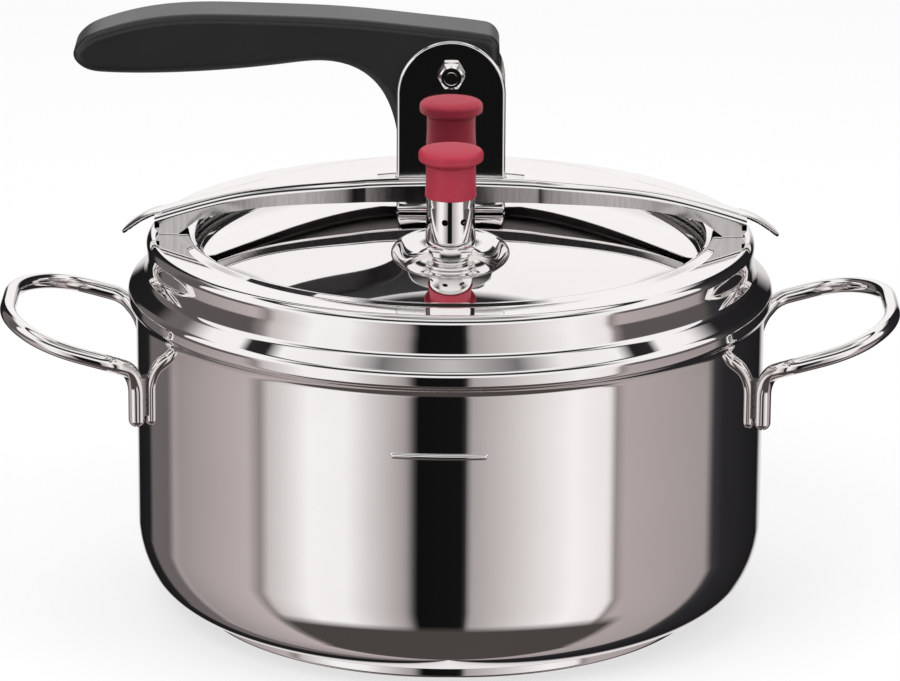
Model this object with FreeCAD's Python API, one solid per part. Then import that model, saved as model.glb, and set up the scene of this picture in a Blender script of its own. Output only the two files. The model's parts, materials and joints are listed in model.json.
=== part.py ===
"""Stovetop pressure cooker closed by a lever: pot, sprung lid, bridge, cam lever and valves.

Frame: millimetres, +Z up, origin at the centre of the base's underside.
The lever's grip points to -X, the operating valve stands on the -Y side of the lid.
"""
import FreeCAD
import Part
import math
import os

V = FreeCAD.Vector

# ---- driving dimensions, in millimetres ----
POT_R = 112.5            # outer radius of the body's wall
SHEET = 1.0              # thickness of the pot's and the lid's sheet
BASE_R = 92.0            # radius of the bonded base
BASE_H = 5.0             # height of the bonded base
BASE_SKIN = 0.8          # thickness of the steel cap round the base's core
SHOULDER_Z = 115.5       # height of the shoulder bulge
SHOULDER_R = 115.2       # radius of the shoulder bulge
NECK_R = 108.7           # outer radius of the neck
RIM_Z = 136.4            # top of the flat rim
MOUTH_R = 90.6           # radius of the opening in the inturned rim
BEAD_Z = 88.0            # height of the pressed fill mark
BEAD_HALF_ANGLE = 8.0    # half of the angle that the fill mark spans
BEAD_ANGLE = -91.8       # direction of the fill mark's middle, in degrees from +X

HANDLE_WIRE = 5.8        # diameter of the side handles' wire
ROOT_X = 119.5           # where a leg's flare meets the loop
LOOP_HALF = 43.0         # half width of the loop, to the wire's centreline
LOOP_REACH = 157.9       # furthest point of the wire's centreline
LOOP_CORNER = (141.5, 22.2)  # x and y where the loop's slanting sides would meet its straight ones
LOOP_Z = 99.3            # height of the wire's centreline at the flare
LOOP_SLOPE = 0.2743      # rise of the loop per millimetre outwards
LEG_Y = 31.5             # half of the distance between a handle's legs
LEG_TOP = 93.0           # height where a leg would meet the loop if it were not bent
LEG_BOTTOM = 75.4        # lower end of the legs' centreline

LID_TOP = 147.5          # crown of the dome, if it were not flattened
DOME_R = 257.0           # radius of the dome
LAND_R = 24.0            # flat land under the bracket
LID_EDGE_R = 97.0        # radius of the lid's sheet
VALVE_Y = 48.0           # distance of both valves from the axis
WELL_Z = 137.5           # flat bottom of the valve wells
WELL_R = 17.4            # radius of the wells' bottom
WELL_TOP_R = 20.8        # radius of the wells WELL_DEPTH above the bottom
WELL_DEPTH = 12.0        # height over which the wells' wall widens
HOLE_COUNT = 8           # exhaust holes round the valve sleeve
HOLE_R = 1.15            # radius of an exhaust hole
HOLE_ANGLE = 31.5        # direction of the first exhaust hole, in degrees from +X

BRIDGE_TOP = 160.7       # top of the bridge at its middle
BRIDGE_ARCH = 332.0      # radius of the bridge's arch
BRIDGE_T = 1.8           # thickness of the bridge's sheet
BRIDGE_BEND = 3.0        # outer bend radius along the bridge's edges
BRIDGE_DRAFT = 5.0       # outward lean of the bridge's flanges, in degrees
BRIDGE_HALF = 105.5      # half length of the bridge without its tongues
TONGUE_HALF_W = 4.6      # half width of the end tongues
TONGUE_T = 1.2           # thickness of the end tongues
SEAT_T = 1.0             # thickness of the cam's seat plate

PLATE_T = 1.8            # thickness of the lever bracket
PLATE_Y = 12.6           # inner face of the bracket's cheeks
PLATE_HALF_W = 19.2      # half width of the bracket's cheeks
PIVOT_Z = 197.6          # height of the lever's pivot
PIVOT_ARCH_Z = 190.4     # centre of the cheeks' round top

LEVER_HALF_W = 12.2      # half width of the lever
LEVER_ROUND = 3.0        # edge rounding on top of the lever
CAM_GAP = 0.15           # running gap between the cam and its seat
CAM_LIFT = 18.8          # how far a quarter turn lowers the lid
CAM_LEFT = -19.0         # left face of the cam head
PIN_R = 3.0              # radius of the pivot bolt
PIN_CLEARANCE = 0.05     # radial running clearance in the bush
BUSH_R = 4.5             # outer radius of the bush

SLEEVE_R = 8.4           # outer radius of the operating valve's sleeve
SLEEVE_TOP_R = 7.3       # outer radius of the sleeve inside its cap

CAM_RATE = CAM_LIFT / (math.pi / 2)
SEAT_TOP = BRIDGE_TOP + SEAT_T
CAM_REACH = PIVOT_Z - SEAT_TOP - CAM_GAP
LAND_Z = LID_TOP - (DOME_R - math.sqrt(DOME_R ** 2 - LAND_R ** 2))

os.makedirs("parts", exist_ok=True)


# ---- helpers ----
def save(shape, name):
    """Write one node and print what it holds."""
    shape.exportStep("parts/" + name + ".step")
    print(name, len(shape.Solids), "solid", round(shape.Volume), "mm3", shape.isValid())


def spread(start, end, count):
    """Evenly spaced values from start to end."""
    step = (end - start) / (count - 1)
    return [start + step * i for i in range(count)]


def bent_path(points, radii):
    """Straight runs through 3-D points, each inner corner rounded by a tangent arc."""
    edges = []
    last = points[0]
    for i in range(1, len(points) - 1):
        into = (points[i] - points[i - 1]).normalize()
        out = (points[i + 1] - points[i]).normalize()
        turn = into.getAngle(out)
        if radii[i] * turn < 1e-6:
            continue
        reach = radii[i] * math.tan(turn / 2)
        start = points[i] - into * reach
        end = points[i] + out * reach
        inward = (out - into).normalize()
        centre = points[i] + inward * (radii[i] / math.cos(turn / 2))
        middle = centre - inward * radii[i]
        if start.distanceToPoint(last) > 1e-6:
            edges.append(Part.LineSegment(last, start).toShape())
        edges.append(Part.Arc(start, middle, end).toShape())
        last = end
    if points[-1].distanceToPoint(last) > 1e-6:
        edges.append(Part.LineSegment(last, points[-1]).toShape())
    return edges


def closed_outline(corners, place):
    """Face inside a closed polygon of (a, b, radius) corners, rounded where radius is not 0."""
    half = [(corners[0][0] + corners[-1][0]) / 2, (corners[0][1] + corners[-1][1]) / 2]
    start = place(*half)
    points = [start] + [place(c[0], c[1]) for c in corners] + [start]
    radii = [0] + [c[2] for c in corners] + [0]
    edges = []
    last = start
    for i in range(1, len(points) - 1):
        if radii[i]:
            piece = bent_path([last, points[i], points[i + 1]], [0, radii[i], 0])
            edges += piece[:-1]
            last = piece[-1].Vertexes[0].Point
        else:
            edges.append(Part.LineSegment(last, points[i]).toShape())
            last = points[i]
    edges.append(Part.LineSegment(last, start).toShape())
    return Part.Face(Part.Wire(edges))


def in_xz(a, b):
    return V(a, 0, b)


def turned(corners, x=0.0, y=0.0):
    """Solid of revolution about a vertical axis at (x, y) from (radius, z, rounding) corners."""
    solid = closed_outline(corners, in_xz).revolve(V(0, 0, 0), V(0, 0, 1), 360)
    solid.translate(V(x, y, 0))
    return solid


def offset_corners(corners, t):
    """The same run of corners moved t to the left of its direction, roundings adjusted."""
    moved = []
    for i, (a, b, r) in enumerate(corners):
        before = corners[max(i - 1, 0)]
        after = corners[min(i + 1, len(corners) - 1)]
        into = V(a - before[0], b - before[1], 0) if i else V(after[0] - a, after[1] - b, 0)
        out = V(after[0] - a, after[1] - b, 0) if i < len(corners) - 1 else into
        into.normalize()
        out.normalize()
        left = V(-into.y - out.y, into.x + out.x, 0)
        left.normalize()
        mitre = t / (left.x * -into.y + left.y * into.x)
        turn = into.x * out.y - into.y * out.x
        new_r = r - t if turn > 0 else r + t
        moved.append((a + left.x * mitre, b + left.y * mitre, max(new_r, 0.3) if r else 0))
    return moved


def turned_sheet(run, t):
    """Sheet of thickness t turned about Z: the run of corners is its outside, the inside is left."""
    inside = offset_corners(run, t)
    return turned(run + inside[::-1])


def disc(r, z0, z1, x=0.0, y=0.0):
    return Part.makeCylinder(r, z1 - z0, V(x, y, z0))


def ring(r_out, r_in, z0, z1, x=0.0, y=0.0):
    return disc(r_out, z0, z1, x, y).cut(disc(r_in, z0 - 1, z1 + 1, x, y))


def box(x0, x1, y0, y1, z0, z1):
    return Part.makeBox(x1 - x0, y1 - y0, z1 - z0, V(x0, y0, z0))


def hexagon(across_flats, z0, z1, x=0.0, y=0.0):
    """Upright hexagonal prism."""
    r = across_flats / math.sqrt(3)
    corners = [V(x + r * math.cos(math.radians(60 * i)), y + r * math.sin(math.radians(60 * i)), z0)
               for i in range(6)]
    return Part.Face(Part.makePolygon(corners + corners[:1])).extrude(V(0, 0, z1 - z0))


def along_y(shape, y0):
    """Turn an upright piece built from z = 0 so that it runs along +Y from y0 at the pivot."""
    laid = shape.copy()
    laid.rotate(V(0, 0, 0), V(1, 0, 0), -90)
    laid.translate(V(0, y0, PIVOT_Z))
    return laid


def mirror_x(shape):
    return shape.mirror(V(0, 0, 0), V(1, 0, 0))


def smooth(points, first=None, last=None):
    """Interpolated curve through (x, z) pairs in the XZ plane, with end tangents where given."""
    curve = Part.BSplineCurve()
    places = [in_xz(*p) for p in points]
    if first:
        curve.interpolate(Points=places, InitialTangent=in_xz(*first), FinalTangent=in_xz(*last))
    else:
        curve.interpolate(places)
    return curve.toShape()


def dome_z(r):
    """Height of the lid's outer face at distance r from the axis."""
    return LID_TOP - DOME_R + math.sqrt(DOME_R ** 2 - r ** 2)


# ---- pot ----
def pot_body():
    """Deep-drawn body: round lower corner, shoulder bulge, neck and inturned rim."""
    run = [
        (0.0, BASE_H, 0),
        (104.0, BASE_H, 18.0),
        (POT_R, 23.5, 38.0),
        (POT_R, 111.0, 5.0),
        (SHOULDER_R, SHOULDER_Z - 2.3, 2.5),
        (SHOULDER_R, SHOULDER_Z + 2.6, 3.2),
        (NECK_R + 0.4, SHOULDER_Z + 7.0, 3.0),
        (NECK_R - 0.3, SHOULDER_Z + 13.0, 20.0),
        (NECK_R, RIM_Z, 3.2),
        (96.6, RIM_Z - 0.1, 3.0),
        (93.4, RIM_Z + 1.0, 2.0),
        (MOUTH_R, RIM_Z - 0.6, 1.8),
        (MOUTH_R + 0.3, RIM_Z - 3.0, 0),
    ]
    shell = turned_sheet(run, SHEET)
    return shell.fuse(fill_mark()).removeSplitter()


def fill_mark():
    """Short horizontal bar that stands proud of the wall on the valve's side."""
    tube_r = 1.25
    ring_r = POT_R - 0.45
    bar = Part.makeTorus(ring_r, tube_r, V(0, 0, 0), V(0, 0, 1), 0, 360, 2 * BEAD_HALF_ANGLE)
    bar.rotate(V(0, 0, 0), V(0, 0, 1), BEAD_ANGLE - BEAD_HALF_ANGLE)
    bar.translate(V(0, 0, BEAD_Z))
    for side in (-1, 1):
        angle = math.radians(BEAD_ANGLE + side * BEAD_HALF_ANGLE)
        end = V(ring_r * math.cos(angle), ring_r * math.sin(angle), BEAD_Z)
        bar = bar.fuse(Part.makeSphere(tube_r, end))
    return bar


def base_core():
    """Aluminium heat-spreading disc inside the base."""
    return disc(BASE_R - BASE_SKIN, BASE_SKIN, BASE_H)


def base_cap():
    """Steel cap pressed over the core, with a rounded lower edge."""
    cap = turned([(0, 0, 0), (BASE_R, 0, 1.5), (BASE_R, BASE_H, 0), (0, BASE_H, 0)])
    return cap.cut(base_core())


# ---- side handles ----
def leg_x():
    return math.sqrt((POT_R + HANDLE_WIRE / 2 + 0.05) ** 2 - LEG_Y ** 2)


def side_handle():
    """Loop of round wire: two legs down the wall, flared roots and a rising oval end."""
    x = leg_x()
    flat = [(ROOT_X, LOOP_HALF), (LOOP_CORNER[0], LOOP_HALF), (LOOP_REACH, LOOP_CORNER[1])]
    half = [V(x, -LEG_Y, LEG_BOTTOM), V(x, -LEG_Y, LEG_TOP)]
    half += [V(px, -py, LOOP_Z + LOOP_SLOPE * (px - ROOT_X)) for px, py in flat]
    points = half + [V(p.x, -p.y, p.z) for p in half[::-1]]
    path = Part.Wire(bent_path(points, [0, 12.0, 9.0, 25.5, 40.0, 40.0, 25.5, 9.0, 12.0, 0]))
    section = Part.Wire(Part.makeCircle(HANDLE_WIRE / 2, points[0], V(0, 0, 1)))
    wire = path.makePipeShell([section], True, True)
    for end in (points[0], points[-1]):
        wire = wire.fuse(Part.makeSphere(HANDLE_WIRE / 2, end))
    return wire.removeSplitter()


def leg_welds(handle):
    """Weld metal in the corners between both legs and the wall."""
    x = leg_x()
    beads = []
    for side in (-1, 1):
        angle = math.degrees(math.atan2(side * LEG_Y, x))
        bead = box(POT_R - 1, POT_R + HANDLE_WIRE / 2, -2.3, 2.3, 77.0, 91.0)
        bead.rotate(V(0, 0, 0), V(0, 0, 1), angle)
        beads.append(bead.cut(disc(POT_R, 60, 110)).cut(handle))
    return beads


# ---- lid ----
def well(depth_offset):
    """Space of one valve well, grown outwards by depth_offset."""
    low_r = WELL_R + depth_offset
    top_r = WELL_TOP_R + depth_offset
    return turned([(0, 0, 0), (low_r, 0, 5.0 + depth_offset), (top_r, WELL_DEPTH, 0), (0, WELL_DEPTH, 0)])


def lid_disc():
    """Springy domed lid that sits under the rim, with a flat land and two valve wells."""
    edge_z = 130.6
    dome_end = 90.0
    top_edges = [
        Part.LineSegment(V(0, 0, LAND_Z), V(LAND_R, 0, LAND_Z)).toShape(),
        Part.Arc(V(LAND_R, 0, LAND_Z), V(60, 0, dome_z(60)), V(dome_end, 0, dome_z(dome_end))).toShape(),
        Part.LineSegment(V(dome_end, 0, dome_z(dome_end)), V(LID_EDGE_R, 0, edge_z)).toShape(),
        Part.LineSegment(V(LID_EDGE_R, 0, edge_z), V(LID_EDGE_R, 0, edge_z - 20)).toShape(),
        Part.LineSegment(V(LID_EDGE_R, 0, edge_z - 20), V(0, 0, edge_z - 20)).toShape(),
        Part.LineSegment(V(0, 0, edge_z - 20), V(0, 0, LAND_Z)).toShape(),
    ]
    under_crown = Part.Face(Part.Wire(top_edges)).revolve(V(0, 0, 0), V(0, 0, 1), 360)
    below = under_crown.copy()
    below.translate(V(0, 0, -SHEET))
    sheet = under_crown.cut(below)
    sheet = sheet.cut(disc(200, 0, edge_z - SHEET - 0.001))
    for side in (-1, 1):
        hollow = well(0)
        hollow.translate(V(0, side * VALVE_Y, WELL_Z))
        outer = well(SHEET)
        outer.translate(V(0, side * VALVE_Y, WELL_Z - SHEET))
        dish = outer.cut(hollow).common(under_crown)
        sheet = sheet.cut(hollow).fuse(dish)
    sheet = sheet.removeSplitter()
    for side, hole_r in ((-1, 4.05), (1, 4.05)):
        sheet = sheet.cut(disc(hole_r, 130, 145, 0, side * VALVE_Y))
    for x in (-10, 10):
        sheet = sheet.cut(disc(2.5, 140, 150, x, 0))
    return sheet


def lid_gasket():
    """Silicone ring clipped round the lid's edge, its lip facing the underside of the rim."""
    top = RIM_Z - SHEET - 0.35
    outline = [
        (91.5, 129.2, 0.6),
        (99.0, 129.2 - 1.4, 1.0),
        (99.6, top - 1.5, 0.8),
        (97.0, top, 0.6),
        (94.0, top, 0.6),
        (92.6, 131.6, 0.4),
    ]
    return turned(outline)


# ---- bridge ----
def arch_z(x):
    return BRIDGE_TOP - BRIDGE_ARCH + math.sqrt(BRIDGE_ARCH ** 2 - x ** 2)


def half_width(x):
    """Outer half width of the bridge at distance x from the middle: wide cheeks, narrow ends."""
    wide, narrow = 18.0, 5.9
    start, end = 30.0, 84.0
    s = min(max((abs(x) - start) / (end - start), 0.0), 1.0)
    ease = s * s * (3 - 2 * s)
    belly = 2.0 * min(abs(x) / start, 1.0) ** 2
    return wide - belly - (wide - 2.0 - narrow) * ease


def flange_z(x):
    """Lower edge of the bridge's flanges, without the feet."""
    return 152.2 - 9.9 * (abs(x) / 88.0) ** 2.5


def bridge_plan(z, inset):
    """Outline of the bridge at height z: the flanges lean outwards from where they meet the arch."""
    lean = math.tan(math.radians(BRIDGE_DRAFT))
    rows = [(x, half_width(x) - inset + lean * (arch_z(x) - z)) for x in spread(-BRIDGE_HALF, BRIDGE_HALF, 23)]
    sides = []
    for side in (-1, 1):
        curve = Part.BSplineCurve()
        curve.interpolate([V(x, side * w, z) for x, w in rows])
        sides.append(curve.toShape())
    ends = [Part.LineSegment(V(x, -w, z), V(x, w, z)).toShape() for x, w in (rows[0], rows[-1])]
    return Part.Wire([sides[0], ends[1], sides[1], ends[0]])


def bridge_block(inset, drop):
    """Solid under the arch with the bridge's plan, moved inwards by inset and down by drop."""
    prism = Part.makeLoft([bridge_plan(120.0, inset), bridge_plan(175.0, inset)], True, True)
    reach = 130.0
    low = 90.0
    ends = [V(-reach, -50, arch_z(reach) - drop), V(reach, -50, arch_z(reach) - drop)]
    crown = Part.Arc(ends[0], V(0, -50, BRIDGE_TOP - drop), ends[1]).toShape()
    rest = Part.makePolygon([ends[1], V(reach, -50, low), V(-reach, -50, low), ends[0]])
    under_arch = Part.Face(Part.Wire([crown] + rest.Edges)).extrude(V(0, 100, 0))
    return prism.common(under_arch)


def rounded_top(block, radius):
    """Round the two long edges where the arch meets the side walls."""
    picked = []
    for edge in block.Edges:
        box_ = edge.BoundBox
        if box_.XLength > 150 and box_.ZMin > 130:
            picked.append(edge)
    return block.makeFillet(radius, picked)


def flange_trim():
    """Space under the flanges' lower edge, between and beyond the feet."""
    foot_z = RIM_Z + 0.15
    xs = spread(-90.0, 90.0, 13)
    upper = Part.BSplineCurve()
    upper.interpolate([V(x, -50, flange_z(x)) for x in xs])
    run = [V(90, -50, flange_z(90)), V(97, -50, foot_z), V(104, -50, foot_z), V(107, -50, 141.0)]
    far = [V(120, -50, 141.0), V(120, -50, 90.0), V(-120, -50, 90.0), V(-120, -50, 141.0)]
    back = [V(-p.x, p.y, p.z) for p in run[::-1]]
    outline = Part.makePolygon(run + far + back)
    face = Part.Face(Part.Wire([upper.toShape()] + outline.Edges))
    return face.extrude(V(0, 100, 0))


def tongue():
    """Thin end of the bridge that curves down over the neck."""
    t = TONGUE_T
    z0 = arch_z(103.0)
    top = Part.Arc(V(103, 0, z0), V(111.6, 0, z0 - 3.4), V(117.5, 0, z0 - 8.4)).toShape()
    low = Part.Arc(V(103, 0, z0 - t), V(110.8, 0, z0 - 3.4 - t * 0.9), V(116.5, 0, z0 - 8.4 - t * 0.8)).toShape()
    ends = [Part.LineSegment(V(103, 0, z0 - t), V(103, 0, z0)).toShape(),
            Part.LineSegment(V(117.5, 0, z0 - 8.4), V(116.5, 0, z0 - 8.4 - t * 0.8)).toShape()]
    band = Part.Face(Part.Wire([top, ends[1], low, ends[0]])).extrude(V(0, 2 * TONGUE_HALF_W, 0))
    band.translate(V(0, -TONGUE_HALF_W, 0))
    return band


def bridge():
    """Arched channel that bears on the rim at both ends; the bracket's cheeks pass through it."""
    outer = rounded_top(bridge_block(0, 0), BRIDGE_BEND)
    inner = rounded_top(bridge_block(BRIDGE_T, BRIDGE_T), BRIDGE_BEND - BRIDGE_T)
    channel = outer.cut(inner)
    end_wall = box(BRIDGE_HALF - BRIDGE_T, BRIDGE_HALF, -20, 20, 100, 160).common(outer)
    channel = channel.fuse([end_wall, mirror_x(end_wall)])
    channel = channel.cut(flange_trim())
    channel = channel.fuse([tongue(), mirror_x(tongue())])
    gap = 0.45
    for side in (-1, 1):
        y0 = side * (PLATE_Y - gap)
        y1 = side * (PLATE_Y + PLATE_T + gap)
        slot = box(-PLATE_HALF_W - 0.5, PLATE_HALF_W + 0.5, min(y0, y1), max(y0, y1), 140, 170)
        channel = channel.cut(slot)
    return channel.removeSplitter()


def cam_seat_plate():
    """Hard wear plate on the bridge, between the bracket's cheeks."""
    upper = Part.makeCylinder(BRIDGE_ARCH + SEAT_T, 23.0, V(0, -11.5, BRIDGE_TOP - BRIDGE_ARCH), V(0, 1, 0))
    lower = Part.makeCylinder(BRIDGE_ARCH, 40.0, V(0, -20, BRIDGE_TOP - BRIDGE_ARCH), V(0, 1, 0))
    return upper.cut(lower).common(box(-26, 26, -20, 20, 150, 170))


# ---- lever bracket and pivot ----
def lever_bracket():
    """U-shaped bracket: web on the lid, two cheeks with round tops."""
    y_out = PLATE_Y + PLATE_T
    top = PIVOT_ARCH_Z + PLATE_HALF_W
    outer = closed_outline([(-y_out, LAND_Z, 3.0), (y_out, LAND_Z, 3.0), (y_out, top + 5, 0),
                            (-y_out, top + 5, 0)], lambda a, b: V(-60, a, b)).extrude(V(120, 0, 0))
    inner = closed_outline([(-PLATE_Y, LAND_Z + PLATE_T, 1.2), (PLATE_Y, LAND_Z + PLATE_T, 1.2),
                            (PLATE_Y, top + 9, 0), (-PLATE_Y, top + 9, 0)],
                           lambda a, b: V(-70, a, b)).extrude(V(140, 0, 0))
    arch = Part.makeCylinder(PLATE_HALF_W, 60, V(0, -30, PIVOT_ARCH_Z), V(0, 1, 0))
    stem = box(-PLATE_HALF_W, PLATE_HALF_W, -30, 30, LAND_Z, PIVOT_ARCH_Z)
    body = outer.cut(inner).common(arch.fuse(stem).removeSplitter())
    rims = []
    for edge in body.Edges:
        b = edge.BoundBox
        on_face = abs(abs(b.YMin) - y_out) < 0.01 and abs(b.YMax - b.YMin) < 0.01
        if on_face and b.ZMax > LAND_Z + 10:
            rims.append(edge)
    body = body.makeFillet(1.0, rims)
    body = body.cut(along_y(disc(PIN_R + 0.02, 0, 60), -30))
    for x in (-10, 10):
        body = body.cut(disc(2.5, 140, 155, x, 0))
    return body


def bracket_backing_plate():
    """Plate under the lid that spreads the bracket's pull."""
    plate = box(-18, 18, -12, 12, LAND_Z - SHEET - 1.8, LAND_Z - SHEET)
    upright = [e for e in plate.Edges if e.BoundBox.ZLength > 1]
    plate = plate.makeFillet(4.0, upright)
    for x in (-10, 10):
        plate = plate.cut(disc(2.5, 140, 155, x, 0))
    return plate


def bracket_rivets():
    """Two solid rivets through the web, the lid and the backing plate."""
    low = LAND_Z - SHEET - 1.8
    high = LAND_Z + PLATE_T
    group = []
    for x in (-10, 10):
        group.append(turned([(0, low - 1.6, 0), (3.6, low - 1.6, 1.2), (4.2, low, 0), (2.5, low, 0),
                             (2.5, high, 0), (4.2, high, 0), (3.6, high + 1.8, 1.4), (0, high + 1.8, 0)],
                            x, 0))
    return Part.makeCompound(group)


def pivot_bolt():
    """Hexagon bolt across both cheeks, head on the valve's side."""
    head_t = 4.2
    y_face = PLATE_Y + PLATE_T + 0.9
    shank = disc(PIN_R, 0, 2 * y_face + 7.0)
    head = hexagon(8.3, -head_t, 0)
    crown = Part.makeCone(3.6, 8.3 * 0.85, head_t * 0.7, V(0, 0, -head_t))
    barrel = disc(20, -head_t * 0.3, 1)
    head = head.common(crown.fuse(barrel))
    recess = ring(2.7, 1.9, -head_t, -head_t + 0.35)
    return along_y(shank.fuse(head).cut(recess).removeSplitter(), -y_face)


def pivot_nut():
    """Domed nut on the far end of the bolt."""
    y_face = PLATE_Y + PLATE_T + 0.9
    nut = hexagon(8.3, 0, 4.5)
    dome = turned([(0, 0, 0), (4.15, 0, 0), (4.15, 8.5, 3.4), (0, 8.5, 0)])
    nut = nut.fuse(dome).cut(disc(PIN_R, -1, 7.0)).removeSplitter()
    return along_y(nut, y_face)


def pivot_washers():
    """Thin washers under the head and the nut."""
    y_face = PLATE_Y + PLATE_T
    front = along_y(ring(4.1, PIN_R, 0, 0.9), -y_face - 0.9)
    back = along_y(ring(4.1, PIN_R, 0, 0.9), y_face)
    return Part.makeCompound([front, back])


# ---- lever ----
def cam_points(count):
    """Spiral cam: its reach falls evenly with the angle, so the lid drops evenly."""
    points = []
    for angle in spread(0, math.pi / 2, count):
        reach = CAM_REACH - CAM_RATE * angle
        x = reach * math.sin(angle) - CAM_RATE * math.cos(angle)
        z = -reach * math.cos(angle) - CAM_RATE * math.sin(angle)
        points.append((x, PIVOT_Z + z))
    return points


def lever_outline():
    """Side view of the lever: long grip, swan neck and cam head."""
    cam = cam_points(9)
    floor = cam[0][1]
    right = cam[-1][0]
    shoulder = (12.0, 211.2)
    corner = (right, 210.4)
    heel = (CAM_LEFT, 172.0)
    grip = [shoulder, (-8.0, 213.6), (-35.0, 216.3), (-70.0, 217.7), (-106.0, 216.4),
            (-122.0, 212.4), (-131.0, 207.4), (-133.2, 202.9), (-130.0, 198.6), (-122.0, 196.7),
            (-106.0, 196.5), (-80.0, 197.8), (-58.0, 200.2), (-44.0, 201.2), (-33.0, 198.3),
            (-24.8, 191.0), (-20.3, 180.8), heel]
    along_top = (shoulder[0] - corner[0], shoulder[1] - corner[1])
    return [
        smooth(grip, along_top, (0.0, -1.0)),
        Part.LineSegment(in_xz(*heel), in_xz(CAM_LEFT, floor)).toShape(),
        Part.LineSegment(in_xz(CAM_LEFT, floor), in_xz(*cam[0])).toShape(),
        smooth(cam),
        Part.LineSegment(in_xz(*cam[-1]), in_xz(*corner)).toShape(),
        Part.LineSegment(in_xz(*corner), in_xz(*shoulder)).toShape(),
    ]


def lever_arm():
    """Moulded lever with rounded upper edges, bored for its bush."""
    face = Part.Face(Part.Wire(lever_outline()))
    arm = face.extrude(V(0, 2 * LEVER_HALF_W, 0))
    arm.translate(V(0, -LEVER_HALF_W, 0))
    arm = arm.makeFillet(6.0, [e for e in upright_corners(arm) if e.BoundBox.ZMin > 205])
    arm = arm.makeFillet(2.0, [e for e in upright_corners(arm) if e.BoundBox.ZMax < 165
                               and e.BoundBox.XMax < CAM_LEFT + 1])
    arm = arm.makeFillet(LEVER_ROUND, grip_edges(arm))
    return arm.cut(along_y(disc(BUSH_R, 0, 60), -30))


def upright_corners(arm):
    """Straight edges that run across the lever."""
    return [e for e in arm.Edges if e.BoundBox.YLength > 2 * LEVER_HALF_W - 0.1]


def grip_edges(arm):
    """Edges between the side faces and the outside of the grip, down to the cam head."""
    picked = []
    for edge in arm.Edges:
        b = edge.BoundBox
        if b.YLength < 0.01 and b.ZMax > 205:
            picked.append(edge)
    return picked


def lever_bush():
    """Steel bush moulded into the lever."""
    bush = ring(BUSH_R, PIN_R + PIN_CLEARANCE, 0, 2 * LEVER_HALF_W)
    return along_y(bush, -LEVER_HALF_W)


# ---- operating valve ----
def valve_stem():
    """Turned brass-coloured steel nozzle: flange, ringed neck and seat for the needle."""
    z = WELL_Z
    stem = turned([(0, z - 8.5, 0), (4.0, z - 8.5, 0.5), (4.0, z, 0), (8.5, z, 0.5), (8.5, z + 1.2, 0.4),
                   (5.2, z + 1.2, 0), (5.2, z + 1.8, 0), (6.5, z + 1.8, 0.3), (6.5, z + 2.6, 0.3),
                   (5.2, z + 2.6, 0), (5.2, z + 3.0, 0), (6.5, z + 3.0, 0.3), (6.5, z + 3.8, 0.3),
                   (5.2, z + 3.8, 0), (5.2, z + 5.4, 0.5), (3.6, z + 5.4, 0), (3.2, z + 14.0, 0),
                   (0, z + 14.0, 0)], 0, -VALVE_Y)
    bore = disc(1.5, z - 9, z + 15, 0, -VALVE_Y)
    mouth = Part.makeCone(1.5, 2.4, 1.2, V(0, -VALVE_Y, z + 12.8))
    return stem.cut(bore).cut(mouth)


def valve_seal(y):
    """Flat silicone washer under the lid."""
    return ring(6.8, 4.05, WELL_Z - SHEET - 1.5, WELL_Z - SHEET, 0, y)


def valve_nut(y):
    """Flanged nut that clamps a valve to the lid."""
    top = WELL_Z - SHEET - 1.5
    nut = hexagon(12.0, top - 3.6, top, 0, y).fuse(disc(7.6, top - 1.0, top, 0, y))
    return nut.cut(disc(4.0, top - 5, top + 1, 0, y)).removeSplitter()


def valve_strainer():
    """Small perforated cup that keeps food out of the nozzle."""
    z = WELL_Z - 8.5
    cup = turned([(0, z - 2.4, 0), (4.6, z - 2.4, 0.8), (4.6, z + 0.6, 0), (4.0, z + 0.6, 0), (4.0, z, 0),
                  (4.0, z - 1.9, 0.4), (0, z - 1.9, 0)], 0, -VALVE_Y)
    for i in range(6):
        angle = math.radians(60 * i)
        x = 2.4 * math.cos(angle)
        y = 2.4 * math.sin(angle) - VALVE_Y
        cup = cup.cut(disc(0.5, z - 4, z, x, y))
    return cup


def valve_sleeve():
    """Steel tube that hides the weight, with a ring of exhaust holes and a stepped top."""
    z = WELL_Z
    outside = [(7.7, z + 4.3, 0), (8.8, z + 8.6, 12.0), (SLEEVE_R, z + 22.0, 20.0), (SLEEVE_R, z + 26.0, 0.3),
               (SLEEVE_TOP_R, z + 26.0, 0), (SLEEVE_TOP_R, z + 37.0, 0)]
    sleeve = turned(outside + offset_corners(outside, 0.8)[::-1], 0, -VALVE_Y)
    for i in range(HOLE_COUNT):
        hole = Part.makeCylinder(HOLE_R, 12, V(0, 0, 0), V(1, 0, 0))
        hole.rotate(V(0, 0, 0), V(0, 0, 1), 360 / HOLE_COUNT * i + HOLE_ANGLE)
        hole.translate(V(0, -VALVE_Y, z + 17.6))
        sleeve = sleeve.cut(hole)
    return sleeve


def valve_weight():
    """Steel weight inside the sleeve; its needle closes the nozzle."""
    z = WELL_Z
    inside = SLEEVE_TOP_R - 0.8
    return turned([(0, z + 12.6, 0), (0.9, z + 13.2, 0), (1.2, z + 14.4, 0), (4.2, z + 14.4, 0.4),
                   (4.2, z + 27.0, 0), (inside, z + 27.0, 0), (inside, z + 37.0, 0), (0, z + 37.0, 0)],
                  0, -VALVE_Y)


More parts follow.
